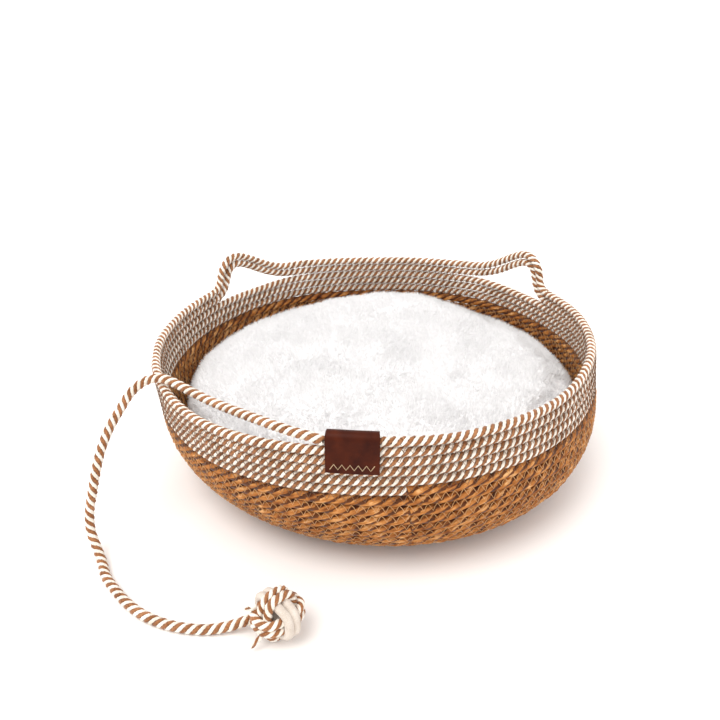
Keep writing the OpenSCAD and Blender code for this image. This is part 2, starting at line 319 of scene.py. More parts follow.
def carried(line, first=(0, 0, 1)):
    """A sideways direction that goes along the line without twisting."""
    d = directions(line)
    side, sides = np.asarray(first, float), []
    for t in d:
        side = unit(side - t * (side @ t))
        sides.append(side)
    return np.array(sides)


def outwards(line):
    """The direction away from the basket's axis, square to the line."""
    line = np.asarray(line)
    away = line - [RIM_X, 0, 0]
    away[:, 2] = 0
    d = directions(line)
    away -= d * (away * d).sum(1)[:, None]
    return away / np.linalg.norm(away, axis=1)[:, None]


def lay(line, across, count, around, length, start=0.0, closed=False):
    """Lines of count strands that wind left-handed around a line, once per length."""
    line = np.asarray(line)
    d = directions(line, closed)
    other = np.cross(d, across)
    gaps = np.linalg.norm(np.diff(line, axis=0), axis=1)
    along = np.concatenate([[0], np.cumsum(gaps)])
    if closed:
        whole = along[-1] + np.linalg.norm(line[0] - line[-1])
        length = whole / max(1, round(whole / length))
    turn = start - 2 * math.pi * along / length
    strands = []
    for i in range(count):
        a = turn + 2 * math.pi * i / count
        strands.append(line + around * (np.cos(a)[:, None] * across
                                        + np.sin(a)[:, None] * other))
    return strands, turn[-1]


# %% [markdown]
# ## Hyacinth rope
# Water hyacinth stems are flat and dry, and three bundles of them are
# twisted loosely together. Each bundle swells and thins along its length, so
# the tubes change width with noise, and the middle line wanders slightly.

# %% Lower wall
def wavering(line, seed, size, grain):
    """Small smooth random sideways steps along a line."""
    def step(p, c):
        place = Vector((p[0] / grain, p[1] / grain, seed + c * 7.3 + p[2] / grain))
        return size * noise.noise(place)

    return np.array([[step(p, c) for c in range(3)] for p in line])


def swelling(line, seed, size, grain):
    """How much thicker or thinner a bundle of stems is at each point of its line."""
    places = [Vector((p[0] / grain, p[1] / grain, seed + p[2] / grain)) for p in line]
    return np.array([1 + size * noise.noise(place) for place in places])


# The strands' thickness and distance from the middle, as shares of the rope's radius
HYACINTH_STRAND, HYACINTH_AROUND, HYACINTH_HEART = 0.55, 0.51, 0.9
HYACINTH_LAY = 38


def hyacinth_rope(name, line, across, seed, r=HYACINTH_R):
    """Three bundles around a heart painted dark as shade, which closes the gaps between them."""
    line = np.asarray(line) + wavering(line, seed, 0.7, 40)
    strands, _ = lay(line, across, 3, r * HYACINTH_AROUND, HYACINTH_LAY, start=seed)
    fat = [swelling(s, seed + 3 * i, 0.28, 7) for i, s in enumerate(strands)]
    heart = HYACINTH_HEART / HYACINTH_STRAND
    return sweep(name, strands + [line], r * HYACINTH_STRAND, [0, 0, 0, 1],
                 [hyacinth_brown, hyacinth_painted_shade], widths=fat + [np.full(len(line), heart)])


pieces = {}
for k in range(1, HYACINTH_ROWS + 1):
    line = one_turn(hyacinth_s(k), HYACINTH, step=1.0)
    node = "hyacinth_row_%d" % k
    rope = hyacinth_rope(node + "_rope", line, outwards(line), k * 1.7)
    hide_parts(node)
    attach(rope, "basket")
    pieces[node] = rope
print("hyacinth rows:", len(pieces), "with", len(rope.data.polygons), "faces in the top one")

# %% Base
base_low, base_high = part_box("base_coil")
base_middle = [(base_low[i] + base_high[i]) / 2 / MM for i in range(3)]
base_r = (base_high[0] - base_low[0]) / 2 / MM - HYACINTH_R
turns, steps = 13, 60
first_r = 2.5
spiral = []
for i in range(turns * steps + 1):
    a = 2 * math.pi * i / steps
    r = first_r + (base_r - first_r) * i / (turns * steps)
    spiral.append((base_middle[0] - r * math.sin(a), r * math.cos(a), 5.2))
level = np.tile([0, 0, 1.0], (len(spiral), 1))
base = hyacinth_rope("base_rope", spiral, level, 2.2, r=4.7)
for v in base.data.vertices:
    v.co.z = max(v.co.z, 0.0002)
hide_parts("base_coil")
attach(base, "basket")
print("base rope", round(turns * math.pi * base_r / 1000, 2), "m long")

# %% [markdown]
# ## Cotton rope
# Four strands, tan and white in turn, give the candy stripes. A full turn of
# the strands takes less than two rope widths. The two top rows leave
# the wall at each ear, rise into a loop and come back, so each of them is
# laid as one unbroken rope and only then cut into its wall and ear pieces.

# %% Ear loops, as angle from the back and height above the row
UPPER = [(67, 0), (62, 0), (59.4, 2.8), (58.1, 9), (57.4, 18), (56.2, 25.4),
         (54.6, 30.3), (52.8, 32.8), (50.7, 32.8), (48.3, 30), (44.9, 23.2),
         (41.4, 15), (38.2, 8), (35, 2.9), (31.5, 0.3), (27.2, 0), (21, 0)]
LOWER = [(66, 0), (60.8, 0), (59.2, 2), (57.4, 6), (56.2, 12), (55.4, 19.5),
         (54.7, 26.4), (53.4, 31.3), (51.8, 33.4), (50.1, 32.2), (48, 29.1),
         (45, 22.8), (41.9, 15.5), (39, 9.4), (36.3, 4.9), (33.4, 1.6),
         (30, 0.2), (26, 0), (21, 0)]


def smooth_line(p, n):
    """Through the points, from the second to the last but one, n steps for each."""
    p = [np.asarray(q, float) for q in p]
    out = []
    for i in range(1, len(p) - 2):
        for t in np.arange(n) / n:
            out.append((2 * p[i] + (p[i + 1] - p[i - 1]) * t
                        + (2 * p[i - 1] - 5 * p[i] + 4 * p[i + 1] - p[i + 2]) * t ** 2
                        + (3 * p[i] - 3 * p[i + 1] + p[i + 2] - p[i - 1]) * t ** 3) / 2)
    return out + [p[-2]]


def ear_line(k, side):
    """A row's loop, and the angles at which it leaves the wall and comes back."""
    loop = UPPER if k == COTTON_ROWS else LOWER
    points = [on_turn(cotton_s(k), COTTON, side * a + EAR_TURN) + [0, 0, h] for a, h in loop]
    return smooth_line(points, 8), loop[1][0], loop[-2][0]


def eared_turn(k):
    """A row that leaves the wall at both ears, with the name of each point's piece."""
    s, row = cotton_s(k), "cotton_row_%d" % k
    left, far, near = ear_line(k, 1)
    right, _, _ = ear_line(k, -1)
    parts = [(row, one_turn(s, COTTON, EAR_TURN + far, START + 180)), ("ear_left", left),
             (row, one_turn(s, COTTON, EAR_TURN - near, EAR_TURN + near)),
             ("ear_right", right[::-1]),
             (row, one_turn(s, COTTON, START - 180, EAR_TURN - far))]
    line, names = [], []
    for name, points in parts:
        line += points[1:] if line else points
        names += [name] * (len(line) - len(names))
    return even(line, names)


def even(line, names, step=2.6):
    """The same line with its points a fixed step apart."""
    line = np.asarray(line)
    along = np.concatenate([[0], np.cumsum(np.linalg.norm(np.diff(line, axis=0), axis=1))])
    at = np.linspace(0, along[-1], int(along[-1] / step) + 1)
    new = np.stack([np.interp(at, along, line[:, c]) for c in range(3)], 1)
    return new, [names[min(int(i), len(names) - 1)] for i in np.searchsorted(along, at)]


# %% Lay the cotton rows and cut them at the ears
STRAND_R = 1.72
# The heart fills the grooves between the strands, and its dark colour is painted shade.
HEART_R = 3.6
COTTON_LAY = 15.2
cotton_lines = {}
turned = 0.0
for k in range(1, COTTON_ROWS + 1):
    if k < COTTON_ROWS - 1:
        points = one_turn(cotton_s(k), COTTON)
        line, names = even(points, ["cotton_row_%d" % k] * len(points))
    else:
        line, names = eared_turn(k)
    line = line + wavering(line, 50.0, 0.5, 60)
    strands, turned = lay(line, outwards(line), 4, COTTON_R - STRAND_R, COTTON_LAY,
                          start=turned)
    cut = 0
    for i in range(1, len(names) + 1):
        if i == len(names) or names[i] != names[cut]:
            stop = min(i + 1, len(names))
            for number, strand in enumerate(strands):
                cotton_lines.setdefault(names[cut], []).append((strand[cut:stop], number % 2))
            cotton_lines[names[cut]].append((line[cut:stop], 2))
            cut = i
for node, tubes in cotton_lines.items():
    thick = [np.full(len(t[0]), HEART_R / STRAND_R if t[1] == 2 else 1) for t in tubes]
    rope = sweep(node + "_rope", [t[0] for t in tubes], STRAND_R, [t[1] for t in tubes],
                 [cotton_tan, cotton_white, rope_heart_painted_shade], widths=thick)
    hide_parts(node)
    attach(rope, "basket")
    pieces[node] = rope
print("cotton pieces:", ", ".join(cotton_lines))

# %% End of the rim rope, on top of the last row to the tag
TAG_MIDDLE, TAG_W = 1.1, 42.0
TAG_HALF = math.degrees(TAG_W / RIM_R / 2)
TAG_LEFT = 180 + TAG_MIDDLE - TAG_HALF
end_s = cotton_s(COTTON_ROWS + 1)
line, _ = even(one_turn(end_s, COTTON, TAG_LEFT + 1, START + 180), ["end"] * 500)
strands, _ = lay(line, outwards(line), 4, COTTON_R - STRAND_R, COTTON_LAY, start=turned)
thick = [np.ones(len(line))] * 4 + [np.full(len(line), HEART_R / STRAND_R)]
end_rope = sweep("rim_end_rope", strands + [line], STRAND_R, [0, 1, 0, 1, 2],
                 [cotton_tan, cotton_white, rope_heart_painted_shade], widths=thick)
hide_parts("rim_end")
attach(end_rope, "basket")
print("rim end ends at", np.round(line[-1], 1))

# %% [markdown]
# ## Toy rope
# The rope leaves the tag, crosses the opening, drops over the left side of
# the rim, and lies on the floor in one easy curve to the ball. Its middle
# line is worked out first and the strands are laid around it, four strands
# like the rim's but free to be a little rounder.

# %% Toy rope
TOY_R, TOY_STRAND, TOY_LAY = 4.5, 1.74, 16.4
toy_route = [
    (-2.5, -215.4, 140.5),
    (-33.5, -212.5, 140.8), (-49.5, -205.5, 141), (-66.5, -195.5, 140.8), (-83, -184.5, 140.2),
    (-99.5, -173, 139.4), (-116, -161.5, 138.6), (-133.5, -150, 138.2), (-150.5, -139, 138.3),
    (-167.5, -128.5, 138.6), (-183.5, -121, 138.7), (-198.5, -120, 134.7), (-211, -126, 126.2),
    (-219.5, -138, 113.5), (-225.5, -153, 102), (-229, -168, 89), (-231, -180, 74),
    (-234, -187, 56), (-237.5, -191.5, 38), (-236, -198, 22), (-228.5, -207, 10.5),
    (-220, -218.5, 5.2), (-210.5, -234.5, 4.6), (-196.5, -249.5, 4.6), (-180.5, -264, 4.6),
    (-162.5, -275.5, 4.6), (-143.5, -282.5, 4.6), (-124.5, -285.5, 4.6), (-106.5, -285, 4.8),
    (-90.5, -281.5, 6.5), (-77.5, -278, 10), (-68, -276.5, 13), (-59.5, -276, 15)]
toy_route = [pulled(p) for p in toy_route]
toy_route.insert(1, on_turn(end_s, COTTON, TAG_LEFT))
toy_line, _ = even(smooth_line(toy_route, 12), ["toy"] * 1000, step=2.0)
strands, _ = lay(toy_line, carried(toy_line), 4, TOY_R - TOY_STRAND, TOY_LAY)
thick = [np.ones(len(toy_line))] * 4 + [np.full(len(toy_line), HEART_R / TOY_STRAND)]
toy = sweep("toy_rope_strands", strands + [toy_line], TOY_STRAND, [0, 1, 0, 1, 2],
            [cotton_tan, cotton_white, rope_heart_painted_shade], widths=thick)
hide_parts("toy_rope")
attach(toy, "basket")

# %% [markdown]
# ## Ball knot
# The rope ends in a ball: three pairs of turns, each square to the others,
# pulled tight around a core. Each turn is a loop with round corners that
# swells outwards in the middle of its sides, which makes the ball round.

# %% One turn of the knot
knot_low, knot_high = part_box("knot_core")
knot_at = [(knot_low[i] + knot_high[i]) / 2 / MM for i in range(3)]
KNOT_TURN = math.radians(-40)
KNOT_R = 3.9


def knot_loop(off, half_long=18.4, half_short=11.9, power=3.2, count=64):
    """A closed line, long along X and short along Y, moved off along Z."""
    points = []
    for i in range(count):
        a = 2 * math.pi * i / count
        c, s = math.cos(a), math.sin(a)
        x = half_long * math.copysign(abs(c) ** (2 / power), c)
        y = half_short * math.copysign(abs(s) ** (2 / power), s)
        inwards = 1 - 0.16 * abs(x / half_long) ** 2
        points.append((x, y * (1 + 0.10 * (1 - abs(x / half_long))), off * inwards))
    return np.array(points)


def turned_by(points, axis, deg):
    a = math.radians(deg)
    c, s = math.cos(a), math.sin(a)
    x, y, z = points.T
    if axis == "x":
        return np.stack([x, y * c - z * s, y * s + z * c], 1)
    if axis == "y":
        return np.stack([x * c + z * s, y, -x * s + z * c], 1)
    return np.stack([x * c - y * s, x * s + y * c, z], 1)


def knot_wrap(node, axis, deg, count, strand_r, colours, length, material_list):
    """A pair of turns side by side round the core, as one piece."""
    lines, slots = [], []
    for off in (-KNOT_R, KNOT_R):
        loop = even(np.vstack([knot_loop(off), knot_loop(off)[:1]]), ["k"] * 70, 1.5)[0][:-1]
        loop = turned_by(turned_by(loop, axis, deg), "z", math.degrees(KNOT_TURN)) + knot_at
        d = directions(loop, True)
        away = loop - knot_at
        away -= d * (away * d).sum(1)[:, None]
        away /= np.linalg.norm(away, axis=1)[:, None]
        strands, _ = lay(loop, away, count, KNOT_R - strand_r, length, closed=True, start=off)
        lines += strands
        slots += [colours[i % len(colours)] for i in range(count)]
    wrap = sweep(node + "_strands", lines, strand_r, slots, material_list, closed=True)
    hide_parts(node)
    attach(wrap, "basket")
    return wrap


two_tone = [cotton_tan, cotton_white]
KNOT_STRAND, KNOT_LAY = 1.55, 15.5
wrap_1 = knot_wrap("knot_wrap_1", "y", -90, 4, KNOT_STRAND, [0, 1], KNOT_LAY, two_tone)
wrap_2 = knot_wrap("knot_wrap_2", "z", 90, 4, KNOT_STRAND, [0, 1], KNOT_LAY, two_tone)
cream_wrap = knot_wrap("knot_cream_wrap", "x", 90, 1, 3.85, [0], 26, [cord_cream])

# %% Core and the two strand ends
core_mesh = bpy.data.meshes.new("knot_core_ball")
core_shape = bmesh.new()
bmesh.ops.create_icosphere(core_shape, subdivisions=3, radius=(knot_high[0] - knot_low[0]) / 2)
bmesh.ops.translate(core_shape, verts=core_shape.verts, vec=Vector(knot_at) * MM)
core_shape.loops.layers.uv.new("UVMap")
core_shape.to_mesh(core_mesh)
core_shape.free()
core_mesh.materials.append(cord_cream)
core_mesh.shade_smooth()
core = bpy.data.objects.new("knot_core_ball", core_mesh)
bpy.context.scene.collection.objects.link(core)
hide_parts("knot_core")
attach(core, "basket")

curl_line = smooth_line([(-54.5, -280, 26), (-63.5, -284, 29), (-69.5, -287, 31.5),
                         (-73.5, -290, 35), (-71.5, -292, 38), (-66.5, -292, 39)], 8)
point_line = smooth_line([(-52.5, -288, 18), (-60.5, -294, 13), (-65.5, -298, 8.5),
                          (-69.5, -301, 4), (-72.5, -303, 0)], 8)[:16]
for node, line, paint in (("knot_end_curl", curl_line, [0, 1]),
                          ("knot_end_point", point_line, [1, 0])):
    line = np.array(line)
    strands, _ = lay(line, carried(line), 2, 0.9, 12)
    taper = np.linspace(1, 0.45, len(line))
    end = sweep(node + "_strands", strands, 1.35, paint, two_tone, widths=[taper, taper])
    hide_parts(node)
    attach(end, "basket")

# %% [markdown]
# ## Sewing
# A zigzag machine stitch joins each row to the next, going through both. Only
# the thread that lies on the surface shows: it runs from the middle of one
# row to the middle of the next and back, dipping into the groove.

# %% Zigzag thread
def zigzag(rows, radius, stitch=7.6, swing=0.36):
    """Thread lines between each row and the one below, outside and inside the wall."""
    lines = []
    for (upper, lower, rope_r), sides in rows:
        u, l = np.asarray(upper), np.asarray(lower)
        n = len(u)
        gaps = np.concatenate([[0], np.cumsum(np.linalg.norm(np.diff(u, axis=0), axis=1))])
        for side in sides:
            count = int(gaps[-1] / stitch * 2)
            line = []
            for i in range(count * 2 + 1):
                at = gaps[-1] * i / (count * 2)
                share = {0: 0.5 - swing, 1: 0.5, 2: 0.5 + swing, 3: 0.5}[i % 4]
                pu = np.array([np.interp(at, gaps, u[:, c]) for c in range(3)])
                pl = np.array([np.interp(at, gaps, l[:, c]) for c in range(3)])
                down = pl - pu
                middle = pu + down * share
                j = min(n - 1, int(np.searchsorted(gaps, at)))
                t = unit(u[min(n - 1, j + 1)] - u[max(0, j - 1)])
                out = unit(np.cross(down, t))
                away = middle - [RIM_X + SHIFT / 2, 0, 60]
                if out @ away < 0:
                    out = -out
                if side < 0:
                    out = -out
                lift = rope_r * (0.97 if i % 2 == 0 else 0.80) + radius * 0.5
                line.append(middle + out * lift)
            lines.append(line)
    return lines


def matched(s_up, pitch_up, s_down, pitch_down, first=START - 180, last=START + 180):
    """Points at the same angles on two neighbouring rows."""
    return (one_turn(s_up, pitch_up, first, last, 1.5),
            one_turn(s_down, pitch_down, first, last, 1.5))


SEEN_INSIDE = 10    # the first hyacinth row whose inner side shows above the cushion
HYACINTH_THREAD, COTTON_THREAD = 0.32, 0.28
hyacinth_rows = []
for k in range(1, HYACINTH_ROWS):
    up, down = matched(hyacinth_s(k + 1), HYACINTH, hyacinth_s(k), HYACINTH)
    sides = (1, -1) if k >= SEEN_INSIDE else (1,)
    hyacinth_rows.append(((up, down, HYACINTH_R), sides))
stitches = zigzag(hyacinth_rows, HYACINTH_THREAD)
hyacinth_sewing = sweep("hyacinth_sewing", stitches, HYACINTH_THREAD, [0] * len(stitches),
                        [thread_tan], sides=4)
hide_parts("hyacinth_thread")
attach(hyacinth_sewing, "basket")

pair = matched(cotton_s(1), COTTON, hyacinth_s(HYACINTH_ROWS), HYACINTH)
cotton_pairs = [((*pair, 4.6), (1, -1))]
EAR_FAR, EAR_NEAR = 62, 25
for k in range(1, COTTON_ROWS):
    spans = [(START - 180, START + 180)]
    if k >= COTTON_ROWS - 2:
        spans = [(EAR_TURN + EAR_FAR, START + 180),
                 (EAR_TURN - EAR_NEAR, EAR_TURN + EAR_NEAR),
                 (START - 180, EAR_TURN - EAR_FAR)]
    for first, last in spans:
        pair = matched(cotton_s(k + 1), COTTON, cotton_s(k), COTTON, first, last)
        cotton_pairs.append(((*pair, COTTON_R), (1, -1)))
stitches = zigzag(cotton_pairs, COTTON_THREAD)
cotton_sewing = sweep("cotton_sewing", stitches, COTTON_THREAD, [0] * len(stitches),
                      [thread_dark], sides=4)
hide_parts("cotton_thread")
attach(cotton_sewing, "basket")
print("stitch lines sewn:", len(stitches), "on cotton")

# %% [markdown]
# ## Leather tag
# A strip of brown leather is folded over the rim rope and sewn below it. Its
# section is drawn once and spun round the basket's axis through the angle
# that the tag covers, then its edges are rounded.

# %% Leather finish
leather = bpy.data.materials.new("brown leather")
leather.use_nodes = True
tree = leather.node_tree
shader = tree.nodes["Principled BSDF"]
shader.inputs["Roughness"].default_value = 0.45
shader.inputs["Specular IOR Level"].default_value = 0.12
place = tree.nodes.new("ShaderNodeTexCoord")
cloudy = tree.nodes.new("ShaderNodeTexNoise")
cloudy.inputs["Scale"].default_value = 70
cloudy.inputs["Detail"].default_value = 5
ramp = tree.nodes.new("ShaderNodeValToRGB")
ramp.color_ramp.elements[0].position = 0.3
ramp.color_ramp.elements[0].color = colour(50, 17, 4)
ramp.color_ramp.elements[1].position = 0.7
ramp.color_ramp.elements[1].color = colour(76, 31, 10)
grain = tree.nodes.new("ShaderNodeTexVoronoi")
grain.inputs["Scale"].default_value = 1400
relief = tree.nodes.new("ShaderNodeBump")
relief.inputs["Strength"].default_value = 0.25
relief.inputs["Distance"].default_value = 0.0003
tree.links.new(place.outputs["Object"], cloudy.inputs["Vector"])
tree.links.new(place.outputs["Object"], grain.inputs["Vector"])
tree.links.new(cloudy.outputs["Fac"], ramp.inputs["Fac"])
tree.links.new(ramp.outputs["Color"], shader.inputs["Base Color"])
tree.links.new(grain.outputs["Distance"], relief.inputs["Height"])
tree.links.new(relief.outputs["Normal"], shader.inputs["Normal"])
print("leather ready")

# %% Folded tag
tag_low, tag_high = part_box("leather_tag")
END_Z = RIM_H + COTTON / 2 + 1.5
TAG_DROP = 28.0
tag_axis = RIM_X + SHIFT * (RIM_H - (END_Z - TAG_DROP / 2)) / (RIM_H - FLOOR)
TAG_INNER, TAG_THICK = 5.0, 1.5
shape = bmesh.new()


def fold_side(r, steps=14):
    """One face of the folded strip: up one side, round the top and down the other."""
    pts = [(r, -TAG_DROP + TAG_DROP * i / 6) for i in range(6)]
    pts += [(r * math.cos(math.pi * i / steps), r * math.sin(math.pi * i / steps))
            for i in range(steps + 1)]
    pts += [(-r, -TAG_DROP * i / 6) for i in range(1, 7)]
    return pts


section = fold_side(TAG_INNER + TAG_THICK) + fold_side(TAG_INNER)[::-1]
corner = math.radians(-90 + TAG_MIDDLE - TAG_HALF)
verts = [shape.verts.new(((tag_axis + (RIM_R + x) * math.cos(corner)) * MM,
                          (RIM_R + x) * math.sin(corner) * MM, (END_Z + z) * MM))
         for x, z in section]
face = shape.faces.new(verts)
bmesh.ops.spin(shape, geom=[face], cent=Vector((tag_axis * MM, 0, 0)), axis=(0, 0, 1),
               angle=math.radians(2 * TAG_HALF), steps=24, use_merge=False)
for vertex in shape.verts:
    vertex.co = Vector(pulled([c / MM for c in vertex.co])) * MM
bmesh.ops.remove_doubles(shape, verts=shape.verts, dist=1e-6)
bmesh.ops.recalc_face_normals(shape, faces=shape.faces)
sharp = [e for e in shape.edges if len(e.link_faces) == 2 and e.calc_face_angle(0) > 0.9]
bmesh.ops.bevel(shape, geom=sharp, offset=0.0004, offset_type="OFFSET", segments=2, profile=0.5,
                affect="EDGES", material=-1)
bmesh.ops.triangulate(shape, faces=[f for f in shape.faces if len(f.verts) > 4])
tag_mesh = bpy.data.meshes.new("folded_tag")
shape.to_mesh(tag_mesh)
shape.free()
tag_mesh.materials.append(leather)
tag_mesh.shade_smooth()
tag = bpy.data.objects.new("folded_tag", tag_mesh)
bpy.context.scene.collection.objects.link(tag)
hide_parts("leather_tag")
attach(tag, "basket")
print("tag with", len(tag_mesh.polygons), "faces, in a box",
      round((tag_high[2] - tag_low[2]) / MM, 1), "mm high")

# %% Zigzag along the tag's lower edge
zigzags = 11
stitch_lines = []
for side in (1, -1):
    line = []
    for i in range(zigzags + 1):
        deg = -90 + TAG_MIDDLE - TAG_HALF + 1.0 + (2 * TAG_HALF - 2.0) * i / zigzags
        r = RIM_R + side * (TAG_INNER + TAG_THICK + 0.15)
        z = END_Z - TAG_DROP + (8.3 if i % 2 else 3.6)
        line.append(pulled((tag_axis + r * math.cos(math.radians(deg)),
                            r * math.sin(math.radians(deg)), z)))
    stitch_lines.append(line)
tag_sewing = sweep("tag_sewing", stitch_lines, 0.32, [0, 0], [thread_cream], sides=6)
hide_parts("tag_stitches")
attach(tag_sewing, "basket")
print("tag stitches:", 2 * zigzags)

# %% [markdown]
# ## Cushion
# A loose round cushion of white plush over soft filling. The cover starts as
# a spun section, is blown up gently by the cloth solver so that it crowns and
# wrinkles as filled fabric does, and then gets its pile: short tapered
# tufts of fibre that lean in changing directions.

# %% Plush, lining and filling finishes
def soft_finish(name, low, high, scale, rough=0.95, sheen=0.4, bump=0.3, deep=0.0008):
    material = bpy.data.materials.new(name)
    material.use_nodes = True
    tree = material.node_tree
    shader = tree.nodes["Principled BSDF"]
    shader.inputs["Roughness"].default_value = rough
    shader.inputs["Sheen Weight"].default_value = sheen
    shader.inputs["Specular IOR Level"].default_value = 0.2
    place = tree.nodes.new("ShaderNodeTexCoord")
    fine = tree.nodes.new("ShaderNodeTexNoise")
    fine.inputs["Scale"].default_value = scale
    fine.inputs["Detail"].default_value = 4
    ramp = tree.nodes.new("ShaderNodeValToRGB")
    ramp.color_ramp.elements[0].position = 0.35
    ramp.color_ramp.elements[0].color = low
    ramp.color_ramp.elements[1].position = 0.65
    ramp.color_ramp.elements[1].color = high
    relief = tree.nodes.new("ShaderNodeBump")
    relief.inputs["Strength"].default_value = bump
    relief.inputs["Distance"].default_value = deep
    tree.links.new(place.outputs["Object"], fine.inputs["Vector"])
    tree.links.new(fine.outputs["Fac"], ramp.inputs["Fac"])
    tree.links.new(ramp.outputs["Color"], shader.inputs["Base Color"])
    tree.links.new(fine.outputs["Fac"], relief.inputs["Height"])
    tree.links.new(relief.outputs["Normal"], shader.inputs["Normal"])
    return material


plush = soft_finish("white plush", colour(242, 241, 242), colour(252, 251, 252), 260)
lining = soft_finish("cushion lining", colour(226, 220, 206), colour(242, 236, 224), 900,
                     sheen=0.1)
stuffing = soft_finish("cushion filling", colour(240, 240, 238), colour(252, 252, 250), 60)

# %% Cover shape
top_low, top_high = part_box("cushion_top")
CUSHION_X = (top_low[0] + top_high[0]) / 2
CUSHION_R = (top_high[0] - top_low[0]) / 2
SEAM_Z = 0.062
CROWN = 0.010
CROWN_Z = top_high[2]
BOTTOM_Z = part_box("cushion_bottom")[0][2]


def outline(side):
    """Half of the cushion's section, from its middle to the seam: side 1 is the top."""
    edge, flat = (0.014, CROWN_Z - CROWN) if side > 0 else (0.073, BOTTOM_Z)
    inner_r = CUSHION_R - edge
    pts = []
    for i in range(13):
        f = i / 12
        z = flat + (CROWN * (1 - f * f) if side > 0 else 0)
        pts.append((inner_r * f, z))
    for i in range(1, 9):
        a = math.radians(90 - 90 * i / 8)
        pts.append((inner_r + edge * math.cos(a), SEAM_Z + (flat - SEAM_Z) * math.sin(a)))
    return pts


def spun(name, points, material, steps=96):
    shape = bmesh.new()
    verts = [shape.verts.new((CUSHION_X + r, 0, z)) for r, z in points]
    edges = [shape.edges.new(pair) for pair in zip(verts, verts[1:])]
    bmesh.ops.spin(shape, geom=verts + edges, cent=(CUSHION_X, 0, 0), axis=(0, 0, 1),
                   angle=2 * math.pi, steps=steps, use_merge=True)
    bmesh.ops.remove_doubles(shape, verts=shape.verts, dist=1e-5)
    bmesh.ops.recalc_face_normals(shape, faces=shape.faces)
    mesh = bpy.data.meshes.new(name)
    shape.to_mesh(mesh)
    shape.free()
    mesh.materials.append(material)
    mesh.shade_smooth()
    piece = bpy.data.objects.new(name, mesh)
    bpy.context.scene.collection.objects.link(piece)
    return piece


print("cushion", round(2 * CUSHION_R, 3), "m across")

# %% Filling and thread
fill_points = [(r * 0.975, z - 0.004) for r, z in outline(1)] + \
              [(r * 0.975, z + 0.004) for r, z in outline(-1)[::-1]]
filling = spun("cushion_stuffing", fill_points, stuffing)
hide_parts("cushion_filling")
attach(filling, "cushion")
thread_line = [((CUSHION_X + (CUSHION_R - 0.001) * math.cos(a)) / MM,
                (CUSHION_R - 0.001) * math.sin(a) / MM, SEAM_Z / MM)
               for a in np.linspace(0, 2 * math.pi, 240, endpoint=False)]
seam = sweep("cushion_seam_thread", [thread_line], 0.6, [0], [thread_cream], sides=6, closed=True)
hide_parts("cushion_seam")
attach(seam, "cushion")

# %% Cloth: let the filled cover settle
def settle(piece, pressure, cap, voxel=0.006):
    """Blow the closed piece up a little with the cloth solver and keep the result."""
    start = piece.modifiers.new("even", "REMESH")
    start.mode = "VOXEL"
    start.voxel_size = voxel
    bpy.context.view_layer.update()
    graph = bpy.context.evaluated_depsgraph_get()
    mesh = bpy.data.meshes.new_from_object(piece.evaluated_get(graph))
    piece.modifiers.clear()
    piece.data = mesh
    rest = np.zeros(3 * len(mesh.vertices))
    mesh.vertices.foreach_get("co", rest)
    rest = rest.reshape(-1, 3)
    cloth = piece.modifiers.new("cloth", "CLOTH")
    cloth.settings.use_pressure = True
    cloth.settings.uniform_pressure_force = pressure
    cloth.settings.effector_weights.gravity = 0
    cloth.settings.quality = 4
    cloth.point_cache.frame_start = 1
    cloth.point_cache.frame_end = 14
    for f in range(1, 15):
        bpy.context.scene.frame_set(f)
    graph = bpy.context.evaluated_depsgraph_get()
    done = bpy.data.meshes.new_from_object(piece.evaluated_get(graph))
    piece.modifiers.clear()
    bpy.context.scene.frame_set(1)
    now = np.zeros(3 * len(done.vertices))
    done.vertices.foreach_get("co", now)
    now = now.reshape(-1, 3)
    move = now - rest
    far = np.linalg.norm(move, axis=1)
    move *= np.minimum(1, cap / np.maximum(far, 1e-9))[:, None]
    done.vertices.foreach_set("co", (rest + move).ravel())
    piece.data = done
    done.shade_smooth()
    print(piece.name, "moved up to", round(float(far.max()) * 1000, 1), "mm, kept", cap * 1000)


whole_points = outline(1) + outline(-1)[::-1][1:]
cover = spun("plush_cover", whole_points, plush)
settle(cover, pressure=3.0, cap=0.004)

# %% Soft waves, then split the cover into plush top and lining below
WAVE, SWELL = 0.0018, 0.011
SWELL_AT, SWELL_WIDE, SWELL_TURN = 0.168, 0.03, 24
PINCH, CLOTH = 0.0022, 0.0012


def part_of_cover(source, name, keep_top, material):
    """The half above or below the seam, which pulls both in. The top swells at the back."""
    shape = bmesh.new()
    shape.from_mesh(source.data)
    geom = shape.verts[:] + shape.edges[:] + shape.faces[:]
    bmesh.ops.bisect_plane(shape, geom=geom, plane_co=(0, 0, SEAM_Z), plane_no=(0, 0, 1),
                           clear_outer=not keep_top, clear_inner=keep_top)
    for v in shape.verts:
        x, y, z = v.co
        away = math.hypot(x - CUSHION_X, y)
        if keep_top:
            wave = (noise.noise(Vector((x * 14, y * 14, 3.1)))
                    + 0.5 * noise.noise(Vector((x * 34, y * 34, 8.2))))
            back = math.degrees(math.atan2(-(x - CUSHION_X), y))
            swell = (math.exp(-(back / SWELL_TURN) ** 2)
                     * math.exp(-((away - SWELL_AT) / SWELL_WIDE) ** 2))
            flat = min(1, max(0, (z - SEAM_Z) / 0.012))
            v.co.z += flat * (WAVE * wave + SWELL * swell)
        pull = PINCH * math.exp(-((z - SEAM_Z) / 0.004) ** 2)
        if away > 0:
            v.co.x -= (x - CUSHION_X) / away * pull
            v.co.y -= y / away * pull
        v.co.z = max(v.co.z, BOTTOM_Z)
    bmesh.ops.solidify(shape, geom=shape.faces[:], thickness=CLOTH)
    bmesh.ops.recalc_face_normals(shape, faces=shape.faces)
    mesh = bpy.data.meshes.new(name)
    shape.to_mesh(mesh)
    shape.free()
    mesh.materials.clear()
    mesh.materials.append(material)
    mesh.shade_smooth()
    piece = bpy.data.objects.new(name, mesh)
    bpy.context.scene.collection.objects.link(piece)
    return piece


